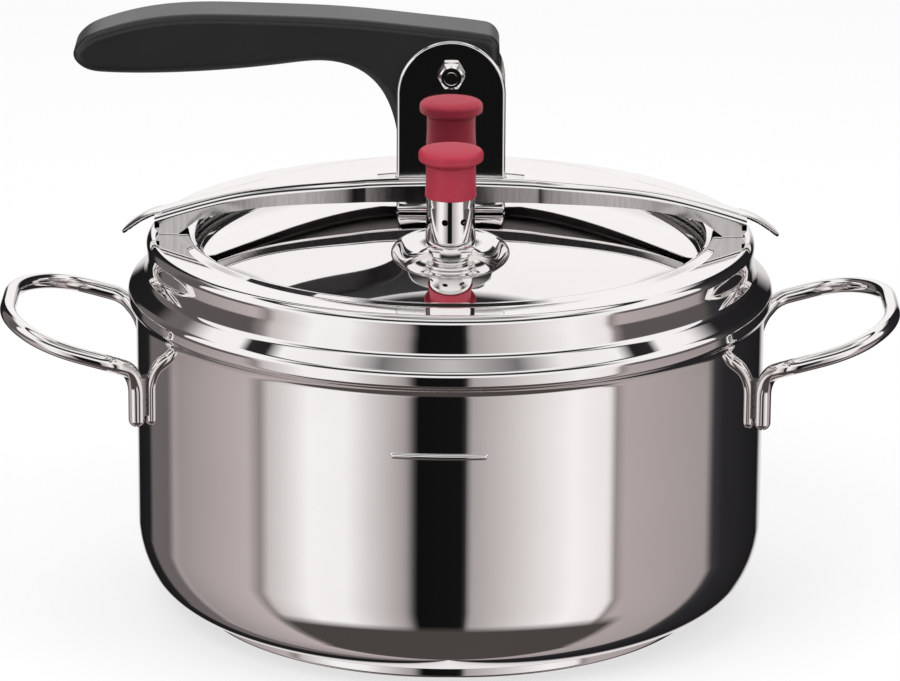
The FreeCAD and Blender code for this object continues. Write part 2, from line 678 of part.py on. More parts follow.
def valve_cap():
    """Silicone cap: straight skirt and a thin mushroom flange to lift it by."""
    z = WELL_Z
    cap = turned([(9.0, z + 25.0, 0.5), (8.65, z + 31.0, 40.0), (8.7, z + 36.4, 0.3), (8.3, z + 36.9, 0.3),
                  (8.9, z + 37.4, 0.3), (11.3, z + 38.0, 1.1), (11.3, z + 41.6, 1.6),
                  (8.0, z + 42.4, 20.0), (0, z + 42.6, 0), (0, z + 25.0, 0)], 0, -VALVE_Y)
    cap = cap.cut(disc(SLEEVE_R, z + 20, z + 26.0, 0, -VALVE_Y))
    return cap.cut(disc(SLEEVE_TOP_R, z + 20, z + 37.0, 0, -VALVE_Y))


# ---- safety valve ----
def safety_body():
    """Turned barrel with a side vent; its plunger sits on a seat in the floor."""
    z = WELL_Z
    barrel = turned([(0, z - 8.5, 0), (4.0, z - 8.5, 0.5), (4.0, z, 0), (7.6, z, 0.4), (7.6, z + 1.6, 0.4),
                     (6.0, z + 1.6, 0), (6.0, z + 13.0, 1.0), (0, z + 13.0, 0)], 0, VALVE_Y)
    chamber = disc(4.4, z + 3.0, z + 11.4, 0, VALVE_Y)
    inlet = disc(2.2, z - 9, z + 4, 0, VALVE_Y)
    guide = disc(1.6, z + 11, z + 14, 0, VALVE_Y)
    barrel = barrel.cut(chamber).cut(inlet).cut(guide)
    for side in (-1, 1):
        vent = Part.makeCylinder(1.1, 8, V(0, VALVE_Y, z + 7.0), V(side, 0, 0))
        barrel = barrel.cut(vent)
    return barrel


def safety_plunger():
    """Disc and stem that lift against the spring."""
    z = WELL_Z + 3.1
    return turned([(0, z, 0), (3.9, z, 0.3), (3.9, z + 1.6, 0.3), (1.5, z + 1.6, 0), (1.5, z + 12.4, 0.5),
                   (0, z + 12.4, 0)], 0, VALVE_Y)


def safety_spring():
    """Coil spring between the plunger's disc and the barrel's roof."""
    wire_r = 0.35
    mean_r = 2.7
    low = WELL_Z + 4.7 + wire_r + 0.05
    high = WELL_Z + 11.4 - wire_r - 0.05
    helix = Part.makeHelix((high - low) / 5.0, high - low, mean_r)
    section = Part.Wire(Part.makeCircle(wire_r, V(mean_r, 0, 0), V(0, 1, 0)))
    coil = Part.Wire(helix).makePipeShell([section], True, True)
    coil.translate(V(0, VALVE_Y, low))
    return coil


# ---- write every node ----
def main():
    save(pot_body(), "pot_body")
    save(base_core(), "base_core")
    save(base_cap(), "base_cap")
    right = side_handle()
    save(mirror_x(right), "side_handle_left")
    save(right, "side_handle_right")
    beads = leg_welds(right)
    save(Part.makeCompound(beads + [mirror_x(b) for b in beads]), "handle_welds")
    save(bridge(), "bridge")
    save(cam_seat_plate(), "cam_seat_plate")
    save(lid_disc(), "lid_disc")
    save(lid_gasket().cut(lid_disc()), "lid_gasket")
    save(lever_bracket(), "lever_bracket")
    save(bracket_backing_plate(), "bracket_backing_plate")
    save(bracket_rivets(), "bracket_rivets")
    save(pivot_bolt(), "pivot_bolt")
    save(pivot_nut(), "pivot_nut")
    save(pivot_washers(), "pivot_washers")
    save(lever_arm(), "lever_arm")
    save(lever_bush(), "lever_bush")
    save(valve_stem(), "valve_stem")
    save(valve_seal(-VALVE_Y), "valve_stem_seal")
    save(valve_nut(-VALVE_Y), "valve_stem_nut")
    save(valve_strainer(), "valve_strainer")
    save(valve_sleeve(), "valve_sleeve")
    save(valve_weight(), "valve_weight")
    save(valve_cap(), "valve_cap")
    save(safety_body(), "safety_body")
    save(valve_seal(VALVE_Y), "safety_seal")
    save(valve_nut(VALVE_Y), "safety_nut")
    save(safety_plunger(), "safety_plunger")
    save(safety_spring(), "safety_spring")


main()
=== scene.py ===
# %% [markdown]
# # A stovetop pressure cooker with a cam lever
#
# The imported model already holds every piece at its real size. This script gives those pieces
# their looks: mirror-polished steel, satin phenolic, silicone, and a soft studio round them.
# Where light has to glide over a polished surface, the piece is made again with finer, exactly
# smooth faces, and stands for its plain twin.

# %% Load the frame
import bpy
import json
import math
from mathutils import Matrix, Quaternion, Vector
from mathutils.geometry import delaunay_2d_cdt


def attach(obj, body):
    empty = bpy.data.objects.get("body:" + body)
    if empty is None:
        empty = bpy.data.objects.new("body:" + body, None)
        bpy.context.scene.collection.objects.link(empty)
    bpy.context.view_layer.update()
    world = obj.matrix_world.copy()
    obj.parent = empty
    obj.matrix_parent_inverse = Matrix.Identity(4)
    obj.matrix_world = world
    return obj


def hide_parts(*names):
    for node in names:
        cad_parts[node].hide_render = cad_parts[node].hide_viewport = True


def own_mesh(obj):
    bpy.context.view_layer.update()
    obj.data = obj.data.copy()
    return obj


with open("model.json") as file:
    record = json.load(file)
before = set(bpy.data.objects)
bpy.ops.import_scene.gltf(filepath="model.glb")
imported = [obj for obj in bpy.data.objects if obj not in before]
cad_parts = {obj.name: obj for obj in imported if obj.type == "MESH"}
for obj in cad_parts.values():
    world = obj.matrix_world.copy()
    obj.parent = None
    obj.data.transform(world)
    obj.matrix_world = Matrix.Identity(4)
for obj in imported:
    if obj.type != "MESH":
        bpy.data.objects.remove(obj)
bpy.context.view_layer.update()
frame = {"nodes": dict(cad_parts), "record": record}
nodes = frame["nodes"]
print("pieces in the frame:", len(nodes))

MM = 0.001
scene = bpy.context.scene

# %% [markdown]
# ## Two small helpers
#
# Colours are written as the hex values that a paint chart would give. Blender works in linear
# light, so one function turns each hex value into linear red, green and blue. A second helper
# adds a node to any tree, sets its settings and links its inputs, so every material reads as a
# short list.


# %% Helpers for colours and nodes
def linear(hex_value):
    """Linear RGBA from an sRGB hex value such as '#c0ffee'."""
    parts = [int(hex_value[i:i + 2], 16) / 255 for i in (1, 3, 5)]
    bright = [p / 12.92 if p <= 0.04045 else ((p + 0.055) / 1.055) ** 2.4 for p in parts]
    return (*bright, 1.0)


def add(tree, kind, inputs=None, **settings):
    """Add one node: settings are its own properties, inputs are values or sockets to link."""
    made = tree.nodes.new(kind)
    for key, value in settings.items():
        setattr(made, key, value)
    for key, value in (inputs or {}).items():
        if isinstance(value, bpy.types.NodeSocket):
            tree.links.new(value, made.inputs[key])
        else:
            made.inputs[key].default_value = value
    return made


# %% [markdown]
# ## The camera
#
# A long lens from two metres away keeps the pot's sides nearly parallel, as in a catalogue
# picture. The camera looks down by about seventeen degrees, enough to show the lid's top.

# %% Camera
VIEW_FROM = 2.0                 # metres from the aim point
LOOK_DOWN = math.radians(16.8)
ROLL = math.radians(0.3)
AIM = Vector((0, 0, 95.6 * MM))

back = Vector((0, -math.cos(LOOK_DOWN), math.sin(LOOK_DOWN)))
camera_data = bpy.data.cameras.new("camera")
camera_data.lens = 222.6
camera_data.sensor_width = 36.0
camera_data.clip_start = 0.1
camera_data.clip_end = 50.0
camera = bpy.data.objects.new("camera", camera_data)
scene.collection.objects.link(camera)
camera.location = AIM + back * VIEW_FROM
level = (-back).to_track_quat("-Z", "Y")
camera.rotation_euler = (level @ Quaternion((0, 0, 1), ROLL)).to_euler()
scene.camera = camera
scene.view_settings.view_transform = "Standard"
print("camera", [round(c, 3) for c in camera.location])

# %% [markdown]
# ## The studio
#
# Polished steel has no colour of its own: it shows the room. A product studio surrounds such an
# object with large white softboxes and leaves dark gaps between them, so that every curve gets a
# crisp dark line. The room here is the world shader. It turns the direction of each reflected
# ray into a compass angle and a height, and two ramps say how bright the room is there. Only
# glossy rays see these panels. The camera sees plain white, and diffuse light is an even grey.

# %% World
world = bpy.data.worlds.new("studio")
scene.world = world
world.use_nodes = True
sky = world.node_tree
sky.nodes.clear()

# Brightness round the compass, for rays that leave the pot sideways or downwards.
# 0 is straight towards the viewer, positive angles turn to the viewer's right.
ROUND_PANELS = [
    (-180, "#f2f0f0"), (-168, "#e0dcdc"), (-164, "#1a1a1b"), (-145, "#222122"), (-141, "#6b6666"),
    (-126, "#6b6565"), (-121, "#a39b9b"), (-116, "#9d9494"), (-79, "#bcb2b2"), (-73, "#8f8787"),
    (-69, "#c9c4c4"), (-62, "#dedada"), (-52, "#fbfbfb"), (-38, "#f8f8f8"), (-28, "#d6d2d2"),
    (-16, "#a59f9f"), (-12, "#101010"), (5.5, "#141414"), (8, "#aaa5a5"), (20, "#c8c3c3"),
    (34, "#e8e4e4"), (46, "#fbfafa"), (60, "#f2eeee"), (63, "#948c8c"), (67, "#b4aaaa"),
    (108, "#a39a9a"), (113, "#3a393b"), (120, "#2a292b"), (158, "#1c1b1d"), (165, "#dedada"),
    (180, "#f2f0f0"),
]
# The same panels just under the horizon, where the grey ones fall into shade.
EYE_PANELS = [(angle, "#5b5656" if colour in ("#a39b9b", "#9d9494", "#bcb2b2", "#b4aaaa", "#a39a9a")
               else colour) for angle, colour in ROUND_PANELS]
# Brightness from the horizon up to straight overhead, behind the pot and on the viewer's side.
BEHIND_PANELS = [
    (0, "#fcfbfb"), (50, "#fbfafa"), (52, "#2a2929"), (56, "#242323"), (59, "#fbfbfb"),
    (70, "#f4f2f2"), (78, "#777576"), (90, "#c9c7c7"),
]
VIEWER_PANELS = [
    (0, "#fbfbfb"), (24, "#fbfbfb"), (29, "#2a292a"), (46, "#39383a"), (53, "#f4f4f4"),
    (64, "#fbfbfb"), (70, "#6d6b6c"), (90, "#c9c7c7"),
]


def ramp(tree, factor, stops, low, high):
    """Colour ramp through (value, hex) stops spread between low and high."""
    made = add(tree, "ShaderNodeValToRGB", {"Fac": factor})
    points = made.color_ramp.elements
    while len(points) < len(stops):
        points.new(0.5)
    for point, (value, colour) in zip(points, stops):
        point.position = (value - low) / (high - low)
    for point, (value, colour) in zip(points, stops):
        point.color = linear(colour)
    return made.outputs["Color"]


def math_node(tree, operation, first, second=0.0, third=0.0):
    made = add(tree, "ShaderNodeMath", {0: first, 1: second, 2: third}, operation=operation)
    return made.outputs[0]


def blend_colours(tree, factor, first, second):
    made = add(tree, "ShaderNodeMix", {"Factor": factor, 6: first, 7: second}, data_type="RGBA")
    return made.outputs[2]


def fade(tree, value, low, high, kind="SMOOTHSTEP"):
    """0 where the value is low, 1 where it is high, and a run between them."""
    made = add(tree, "ShaderNodeMapRange", {"Value": value, "From Min": low, "From Max": high},
               interpolation_type=kind)
    return made.outputs["Result"]


# Edges of the zones below, in radians. A zone fades in from the first value of its pair to the
# second, and FLAG_FAR is where the flags fade out again.
EYE_LEVEL = (-0.30, -0.26)
STAND_TOP = (-0.62, -0.74)
STAND_FRONT = (0.22, 0.34)      # as the cosine of the compass angle
VIEWER_SIDE = (0.25, 0.6)       # as a cosine too
FLAG_NEAR = (1.83, 1.97)
FLAG_FAR = (2.78, 2.90)
FLAG_HEIGHT = 0.6               # how far the flags push the horizon up
HORIZON = (0.0, 0.16)

toward = add(sky, "ShaderNodeTexCoord").outputs["Generated"]
parts = add(sky, "ShaderNodeSeparateXYZ", {"Vector": toward})
away_y = math_node(sky, "MULTIPLY", parts.outputs["Y"], -1.0)
compass = math_node(sky, "ARCTAN2", parts.outputs["X"], away_y)
compass_turn = math_node(sky, "MULTIPLY_ADD", compass, 0.5 / math.pi, 0.5)
height = math_node(sky, "ARCSINE", parts.outputs["Z"])
height_part = math_node(sky, "MULTIPLY", height, 2 / math.pi)
flat_away = math_node(sky, "COSINE", compass)
around = blend_colours(sky, fade(sky, height, *EYE_LEVEL, "LINEAR"),
                       ramp(sky, compass_turn, ROUND_PANELS, -180, 180),
                       ramp(sky, compass_turn, EYE_PANELS, -180, 180))
# A dark stand below the lens, on the viewer's side: the foot of the pot looks straight at it.
stand = math_node(sky, "MULTIPLY", fade(sky, flat_away, *STAND_FRONT, "LINEAR"),
                  fade(sky, height, *STAND_TOP, "LINEAR"))
around = blend_colours(sky, stand, around, linear("#4b4644"))
behind = ramp(sky, height_part, BEHIND_PANELS, 0, 90)
viewer = ramp(sky, height_part, VIEWER_PANELS, 0, 90)
above = blend_colours(sky, fade(sky, flat_away, *VIEWER_SIDE), behind, viewer)
# The dark flags at the sides reach above the horizon, where the white panels end.
aside = math_node(sky, "ABSOLUTE", compass)
flag = math_node(sky, "SUBTRACT", fade(sky, aside, *FLAG_NEAR), fade(sky, aside, *FLAG_FAR))
over_flags = math_node(sky, "MULTIPLY_ADD", flag, -FLAG_HEIGHT, height)
room = blend_colours(sky, fade(sky, over_flags, *HORIZON), around, above)
rays = add(sky, "ShaderNodeLightPath")
soft_fill = (0.62, 0.62, 0.63, 1.0)
lit = blend_colours(sky, rays.outputs["Is Glossy Ray"], soft_fill, room)
seen = blend_colours(sky, rays.outputs["Is Camera Ray"], lit, (1.0, 1.0, 1.0, 1.0))
shine = add(sky, "ShaderNodeBackground", {"Color": seen, "Strength": 1.0})
add(sky, "ShaderNodeOutputWorld", {"Surface": shine.outputs[0]})
print("panels:", len(ROUND_PANELS), "round,", len(BEHIND_PANELS), "behind,", len(VIEWER_PANELS), "in front")

# %% [markdown]
# ## Floor and lamps
#
# The pot stands on a pale sweep. The floor takes its shadow from the lamps, but part of what the
# camera sees of it is plain white, so it stays pale without more light on the pot. Polished
# sides look down at the floor, so the floor is hidden from glossy rays and they meet the room.

# %% Floor and lamps
floor_mesh = bpy.data.meshes.new("floor")
FLOOR_HALF = 6.0
corners = [(-FLOOR_HALF, -FLOOR_HALF, 0), (FLOOR_HALF, -FLOOR_HALF, 0),
           (FLOOR_HALF, FLOOR_HALF, 0), (-FLOOR_HALF, FLOOR_HALF, 0)]
floor_mesh.from_pydata(corners, [], [(0, 1, 2, 3)])
floor = bpy.data.objects.new("floor", floor_mesh)
scene.collection.objects.link(floor)
floor.visible_glossy = False

sweep = bpy.data.materials.new("pale_paper_sweep")
sweep.use_nodes = True
paper = sweep.node_tree
paper.nodes.clear()
paper_rays = add(paper, "ShaderNodeLightPath")
matt = add(paper, "ShaderNodeBsdfDiffuse", {"Color": linear("#efefef")})
white = add(paper, "ShaderNodeEmission", {"Color": (1, 1, 1, 1), "Strength": 1.0})
SHOWN_WHITE = 0.62              # part of the floor's colour that is plain white to the camera
share = math_node(paper, "MULTIPLY", paper_rays.outputs["Is Camera Ray"], SHOWN_WHITE)
mixed = add(paper, "ShaderNodeMixShader", {"Fac": share, 1: matt.outputs[0], 2: white.outputs[0]})
add(paper, "ShaderNodeOutputMaterial", {"Surface": mixed.outputs[0]})
floor_mesh.materials.append(sweep)


def softbox(name, place, size, power):
    """Square area lamp that looks at the pot and isn't itself mirrored in it."""
    lamp = bpy.data.lights.new(name, "AREA")
    lamp.size = size
    lamp.energy = power
    holder = bpy.data.objects.new(name, lamp)
    scene.collection.objects.link(holder)
    holder.location = place
    holder.rotation_euler = (AIM - Vector(place)).to_track_quat("-Z", "Y").to_euler()
    holder.visible_glossy = False


softbox("key_softbox", (-0.9, -1.0, 1.5), 1.2, 16.0)
softbox("fill_softbox", (1.1, -0.6, 1.2), 1.2, 8.0)
softbox("top_softbox", (0.0, 0.5, 1.8), 1.4, 10.0)

# %% [markdown]
# ## Materials
#
# Each material starts from what the real one is and how its surface was made.


# %% Material helper
def new_material(name):
    """Empty material with a Principled shader: returns the material, its tree and the shader."""
    made = bpy.data.materials.new(name)
    made.use_nodes = True
    tree = made.node_tree
    tree.nodes.clear()
    shader = add(tree, "ShaderNodeBsdfPrincipled")
    add(tree, "ShaderNodeOutputMaterial", {"Surface": shader.outputs[0]})
    return made, tree, shader


def grain(tree, per_metre, detail=2.0, stretch=(1, 1, 1)):
    """Noise on Object coordinates, stretched where the finish has a direction."""
    where = add(tree, "ShaderNodeTexCoord").outputs["Object"]
    place = add(tree, "ShaderNodeMapping", {"Vector": where, "Scale": stretch})
    noise = add(tree, "ShaderNodeTexNoise",
                {"Vector": place.outputs[0], "Scale": per_metre, "Detail": detail})
    return noise.outputs["Fac"]


def remap(tree, value, low, high):
    made = add(tree, "ShaderNodeMapRange", {"Value": value, "To Min": low, "To Max": high})
    return made.outputs["Result"]


def coat(tree, shader, mask, tones, roughness, metallic=1.0):
    """Let one mask drive the tone and the roughness, each between its two limits."""
    tone = add(tree, "ShaderNodeMix", {"Factor": mask, 6: linear(tones[0]), 7: linear(tones[1])},
               data_type="RGBA")
    tree.links.new(tone.outputs[2], shader.inputs["Base Color"])
    tree.links.new(remap(tree, mask, *roughness), shader.inputs["Roughness"])
    shader.inputs["Metallic"].default_value = metallic


def bump(tree, shader, heights, strength, depth):
    made = add(tree, "ShaderNodeBump", {"Height": heights, "Strength": strength, "Distance": depth * MM})
    tree.links.new(made.outputs[0], shader.inputs["Normal"])


# %% [markdown]
# ### Mirror-polished stainless steel
#
# 18/10 steel, buffed to a mirror. Buffing leaves slow waves in the sheet and a faint haze that
# comes and goes over a few centimetres, which is what tells steel from a perfect mirror.

# %% Polished steel
def polished_steel():
    made, tree, shader = new_material("mirror_polished_stainless")
    coat(tree, shader, grain(tree, 35.0, 4.0), ("#f2efee", "#faf8f7"), (0.015, 0.05))
    bump(tree, shader, grain(tree, 18.0, 0.0), 0.03, 1.0)
    return made


# %% [markdown]
# ### Turned and satin stainless steel
#
# Bolts, nuts and the valve's turned base come off a lathe. The tool leaves fine rings about a
# third of a millimetre apart, which spread the light into a soft streak.

# %% Satin steel
def satin_steel():
    made, tree, shader = new_material("turned_satin_stainless")
    fine = grain(tree, 1600.0, 3.0)
    coat(tree, shader, fine, ("#b9b5b3", "#dedbd9"), (0.16, 0.30))
    bump(tree, shader, fine, 0.08, 0.05)
    return made


# %% [markdown]
# ### Aluminium
#
# The core of the base is a blanked disc of plain aluminium. Only its edge could ever be seen.

# %% Aluminium
def core_aluminium():
    made, tree, shader = new_material("plain_aluminium")
    coat(tree, shader, grain(tree, 220.0, 3.0), ("#c3c4c6", "#d6d7d9"), (0.3, 0.45))
    return made


# %% [markdown]
# ### Moulded phenolic
#
# The lever is black phenolic, moulded in a steel die with a fine spark-eroded texture. The grain
# is about a third of a millimetre and breaks the gloss into a satin sheen. Handling polishes the
# high spots a little, so the roughness drifts slowly along the grip.

# %% Phenolic
def moulded_phenolic():
    made, tree, shader = new_material("black_moulded_phenolic")
    coat(tree, shader, grain(tree, 40.0, 3.0), ("#161617", "#1c1c1e"), (0.30, 0.40), 0.0)
    shader.inputs["IOR"].default_value = 1.55
    bump(tree, shader, grain(tree, 3000.0, 2.0), 0.35, 0.05)
    return made


# %% [markdown]
# ### Silicone rubber
#
# Silicone has a soft skin: matt, slightly dusty, with light that sinks in a little before it
# comes out again. The cap is red, and the gasket and washers are a translucent grey.

# %% Silicone
def silicone(name, dark, light, depth):
    made, tree, shader = new_material(name)
    dust = grain(tree, 260.0, 3.0)
    coat(tree, shader, dust, (dark, light), (0.38, 0.52), 0.0)
    shader.inputs["IOR"].default_value = 1.41
    shader.inputs["Subsurface Weight"].default_value = 0.12
    shader.inputs["Subsurface Radius"].default_value = (1.0, 0.3, 0.25)
    shader.inputs["Subsurface Scale"].default_value = depth
    bump(tree, shader, dust, 0.1, 0.1)
    return made


# %% [markdown]
# ### Painted shade in the bridge's channel, and brushed steel
#
# The inside of the bridge's channel is left rough, for a broad, soft reflection, and its grey is
# painted shade: far darker than steel, it stands for the shade inside the channel, which the lid
# mirrors under the flanges. The two flanges are brushed crosswise after bending, so short upright
# scratches smear what they reflect. Both are one rule with other numbers: a grain stretched along the
# scratches drives the tone and the roughness.

# %% Painted shade in the channel, and brushed steel
def grain_steel_and_painted_shade(name, tones, roughness, stretch):
    made, tree, shader = new_material(name)
    coat(tree, shader, grain(tree, 900.0, 2.0, stretch), tones, roughness)
    return made


# The channel's dark grey tones are painted shade, not the colour of its steel.
SHADED_CHANNEL = grain_steel_and_painted_shade("channel_steel_painted_shade", ("#5e5b5a", "#777372"), (0.28, 0.42), (0.1, 1, 1))
BRUSHED = grain_steel_and_painted_shade("brushed_stainless", ("#aaa7a6", "#d6d3d2"), (0.07, 0.17), (1, 1, 0.08))
print(SHADED_CHANNEL.name, BRUSHED.name)

# %% [markdown]
# ### Which piece is made of what
#
# The frame's record names a material for every piece. Pieces that are not made again below keep
# this material and their plain mesh.

# %% Give every frame piece its material
MATERIALS = {
    "polished_steel": polished_steel(),
    "satin_steel": satin_steel(),
    "aluminium_core": core_aluminium(),
    "bakelite": moulded_phenolic(),
    "red_silicone": silicone("red_silicone_rubber", "#a3283b", "#b03247", 1.0 * MM),
    "grey_silicone": silicone("grey_silicone_rubber", "#a9a8a5", "#bcbbb8", 1.0 * MM),
}
for part in frame["record"]["subparts"]:
    piece = nodes[part["node"]]
    piece.data.materials.clear()
    piece.data.materials.append(MATERIALS[part["material_slot"]])
    print(part["node"], part["material_slot"], len(piece.data.polygons), "faces")

# %% [markdown]
# ## Shells with exact normals
#
# A mirror shows every wobble in the normals of its mesh. So each polished piece is made again
# from the rule that shapes it, and its normals come from the same rule. A shell is a list of
# points, a list of faces and a list of normals, and one piece can hold several shells.


# %% From shells to pieces
def shell_of(mesh):
    """Points, faces and wanted normals of a mesh in metres, as one shell in mm."""
    wanted = mesh.attributes.get("wanted_normal")
    source = wanted.data if wanted else mesh.vertices
    key = "vector" if wanted else "normal"
    normals = [Vector(getattr(item, key)).normalized() for item in source]
    points = [v.co / MM for v in mesh.vertices]
    return points, [tuple(p.vertices) for p in mesh.polygons], normals


def stand_in(node, shells, slot_name, body, finishes=()):
    """One piece from its shells, standing for the frame's node of the same name.

    finishes holds (material, face numbers) pairs for faces that are not finished like the rest.
    """
    points, faces, normals = [], [], []
    for shell_points, shell_faces, shell_normals in shells:
        first = len(points)
        points += [Vector(p) * MM for p in shell_points]
        faces += [tuple(first + i for i in face) for face in shell_faces]
        normals += shell_normals
    mesh = bpy.data.meshes.new(node + "_smooth")
    mesh.from_pydata(points, [], faces)
    mesh.shade_smooth()
    mesh.normals_split_custom_set_from_vertices(normals)
    mesh.materials.append(MATERIALS[slot_name])
    for other, picked in finishes:
        mesh.materials.append(other)
        for i in picked:
            mesh.polygons[i].material_index = len(mesh.materials) - 1
    piece = bpy.data.objects.new(node + "_smooth", mesh)
    scene.collection.objects.link(piece)
    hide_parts(node)
    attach(piece, body)
    print(piece.name, len(faces), "faces")
    return piece


def thick(outer, under, faces, normals):
    """Closed shell between two layers of matching points: faces is the outer layer's."""
    count = len(outer)
    owners = {}
    for face in faces:
        for a, b in zip(face, face[1:] + face[:1]):
            owners[(a, b)] = True
    strips = [(b, a, a + count, b + count) for a, b in owners if (b, a) not in owners]
    back_faces = [tuple(i + count for i in reversed(face)) for face in faces]
    return outer + under, faces + back_faces + strips, normals + [-n for n in normals]


# %% [markdown]
# ## Turned and drawn pieces
#
# The body is deep-drawn, the cap of the base is pressed, and the valve's parts come off a lathe:
# all of them are one half section swept round an axis. A Geometry Nodes tree does the sweeping.
# It lays a grid whose columns are copies of the section, turns each column to its own angle,
# carries the section's normals round with it, and welds the seam and the poles shut.


# %% Half sections
def rounded(corners, closed=False):
    """Points and normals of a half section through (r, z, rounding) corners in mm."""
    count = len(corners)
    run = []
    for i, (r, z, rounding) in enumerate(corners):
        here = Vector((r, z))
        into = here - Vector(corners[i - 1][:2])
        out = Vector(corners[(i + 1) % count][:2]) - here
        if not closed and i == 0:
            into = out
        if not closed and i == count - 1:
            out = into
        into.normalize()
        out.normalize()
        turn = math.atan2(into.x * out.y - into.y * out.x, into.dot(out))
        side = math.copysign(1.0, turn)
        size = max(rounding, 0.1)
        start = here - into * size * math.tan(abs(turn) / 2)
        centre = start + Vector((-into.y, into.x)) * side * size
        steps = math.ceil(abs(turn) / math.radians(7) - 1e-6)
        for k in range(steps + 1):
            swing = turn * k / max(steps, 1)
            normal = Vector((into.y * math.cos(swing) + into.x * math.sin(swing),
                             into.y * math.sin(swing) - into.x * math.cos(swing)))
            run.append((centre + normal * side * size, normal))
    return run + run[:1] if closed else run


def sheet_section(corners, sheet):
    """Half section of a sheet: its outside, a half-round edge, and its inside back to the axis."""
    outside = rounded(corners)
    inside = [(p - n * sheet, -n) for p, n in reversed(outside)]
    normal = outside[-1][1]
    middle = (outside[-1][0] + inside[0][0]) / 2
    onward = Vector((-normal.y, normal.x))
    edge = []
    for k in range(1, 8):
        swing = math.pi * k / 8
        around = normal * math.cos(swing) + onward * math.sin(swing)
        edge.append((middle + around * sheet / 2, around))
    return outside + edge + inside


# %% The tree that turns a section
def new_tree(name, sockets):
    """Geometry Nodes tree with the given inputs, and its group input's sockets."""
    tree = bpy.data.node_groups.new(name, "GeometryNodeTree")
    for label, kind in sockets:
        tree.interface.new_socket(label, in_out="INPUT", socket_type=kind)
    tree.interface.new_socket("Piece", in_out="OUTPUT", socket_type="NodeSocketGeometry")
    return tree, add(tree, "NodeGroupInput").outputs


def close_tree(tree, geometry, finish):
    """Last steps of every tree: smooth faces, real geometry, the piece's material."""
    smooth = add(tree, "GeometryNodeSetShadeSmooth", {"Geometry": geometry})
    real = add(tree, "GeometryNodeRealizeInstances", {"Geometry": smooth.outputs[0]})
    painted = add(tree, "GeometryNodeSetMaterial", {"Geometry": real.outputs[0], "Material": finish})
    add(tree, "NodeGroupOutput", {"Piece": painted.outputs[0]})


def turning_tree():
    """Sweeps a section, drawn in the XZ plane, once round the Z axis."""
    tree, given = new_tree("turn_about_z", [
        ("Section", "NodeSocketGeometry"), ("Segments", "NodeSocketInt"),
        ("Weld Distance", "NodeSocketFloat"), ("Finish", "NodeSocketMaterial")])
    size = add(tree, "GeometryNodeAttributeDomainSize", {"Geometry": given["Section"]})
    along = size.outputs["Point Count"]
    columns = math_node(tree, "ADD", given["Segments"], 1.0)
    grid = add(tree, "GeometryNodeMeshGrid", {"Vertices X": columns, "Vertices Y": along})
    index = add(tree, "GeometryNodeInputIndex").outputs[0]
    column = math_node(tree, "FLOOR", math_node(tree, "DIVIDE", math_node(tree, "ADD", index, 0.5), along))
    row = math_node(tree, "SUBTRACT", index, math_node(tree, "MULTIPLY", column, along))
    angle = math_node(tree, "MULTIPLY", math_node(tree, "DIVIDE", column, given["Segments"]), math.tau)
    place = add(tree, "GeometryNodeInputPosition").outputs[0]
    facing = add(tree, "GeometryNodeInputNamedAttribute", {"Name": "wanted_normal"},
                 data_type="FLOAT_VECTOR").outputs[0]
    turned = []
    for value in (place, facing):
        taken = add(tree, "GeometryNodeSampleIndex",
                    {"Geometry": given["Section"], "Value": value, "Index": row},
                    data_type="FLOAT_VECTOR", domain="POINT").outputs[0]
        turned.append(add(tree, "ShaderNodeVectorRotate", {"Vector": taken, "Angle": angle},
                          rotation_type="Z_AXIS").outputs[0])
    moved = add(tree, "GeometryNodeSetPosition", {"Geometry": grid.outputs["Mesh"], "Position": turned[0]})
    kept = add(tree, "GeometryNodeStoreNamedAttribute",
               {"Geometry": moved.outputs[0], "Name": "wanted_normal", "Value": turned[1]},
               data_type="FLOAT_VECTOR", domain="POINT")
    welded = add(tree, "GeometryNodeMergeByDistance",
                 {"Geometry": kept.outputs[0], "Distance": given["Weld Distance"]})
    close_tree(tree, welded.outputs[0], given["Finish"])
    return tree


def grown(holder, tree, values):
    """Mesh that a tree makes of an object, which is then dropped. Inputs are set by identifier."""
    modifier = holder.modifiers.new("tree", "NODES")
    modifier.node_group = tree
    sockets = {s.name: s.identifier for s in tree.interface.items_tree if s.in_out == "INPUT"}
    for label, value in values.items():
        modifier[sockets[label]] = value
    graph = bpy.context.evaluated_depsgraph_get()
    made = bpy.data.meshes.new_from_object(holder.evaluated_get(graph))
    holder.modifiers.remove(modifier)
    bpy.data.objects.remove(holder)
    return made


def run_tree(tree, points, values, attribute, rows):
    """Mesh that a tree makes from a line of points in mm that carries one named attribute."""
    line = bpy.data.meshes.new("line")
    line.from_pydata([Vector(p) * MM for p in points], [(i, i + 1) for i in range(len(points) - 1)], [])
    kind = "FLOAT_VECTOR" if len(rows) and hasattr(rows[0], "x") else "FLOAT"
    layer = line.attributes.new(attribute, kind, "POINT")
    for item, value in zip(layer.data, rows):
        if kind == "FLOAT":
            item.value = value
        else:
            item.vector = value
    holder = bpy.data.objects.new("line", line)
    scene.collection.objects.link(holder)
    return grown(holder, tree, values)


TURN = turning_tree()


def turned_shell(section, slot_name, segments=192, y=0.0):
    """Shell turned from a half section about the upright axis at y mm."""
    points = [(p.x, 0, p.y) for p, n in section]
    normals = [Vector((n.x, 0, n.y)) for p, n in section]
    mesh = run_tree(TURN, points, {"Segments": segments, "Weld Distance": 1e-6,
                                   "Finish": MATERIALS[slot_name]}, "wanted_normal", normals)
    shell_points, faces, shell_normals = shell_of(mesh)
    return [p + Vector((0, y, 0)) for p in shell_points], faces, shell_normals


# %% [markdown]
# ## Wires
#
# The side handles are bent from round stainless wire, and the fill mark is a short round bar.
# A second tree runs a circle along a path and takes the wire's radius from each point, so the
# ends can be turned to a half ball.


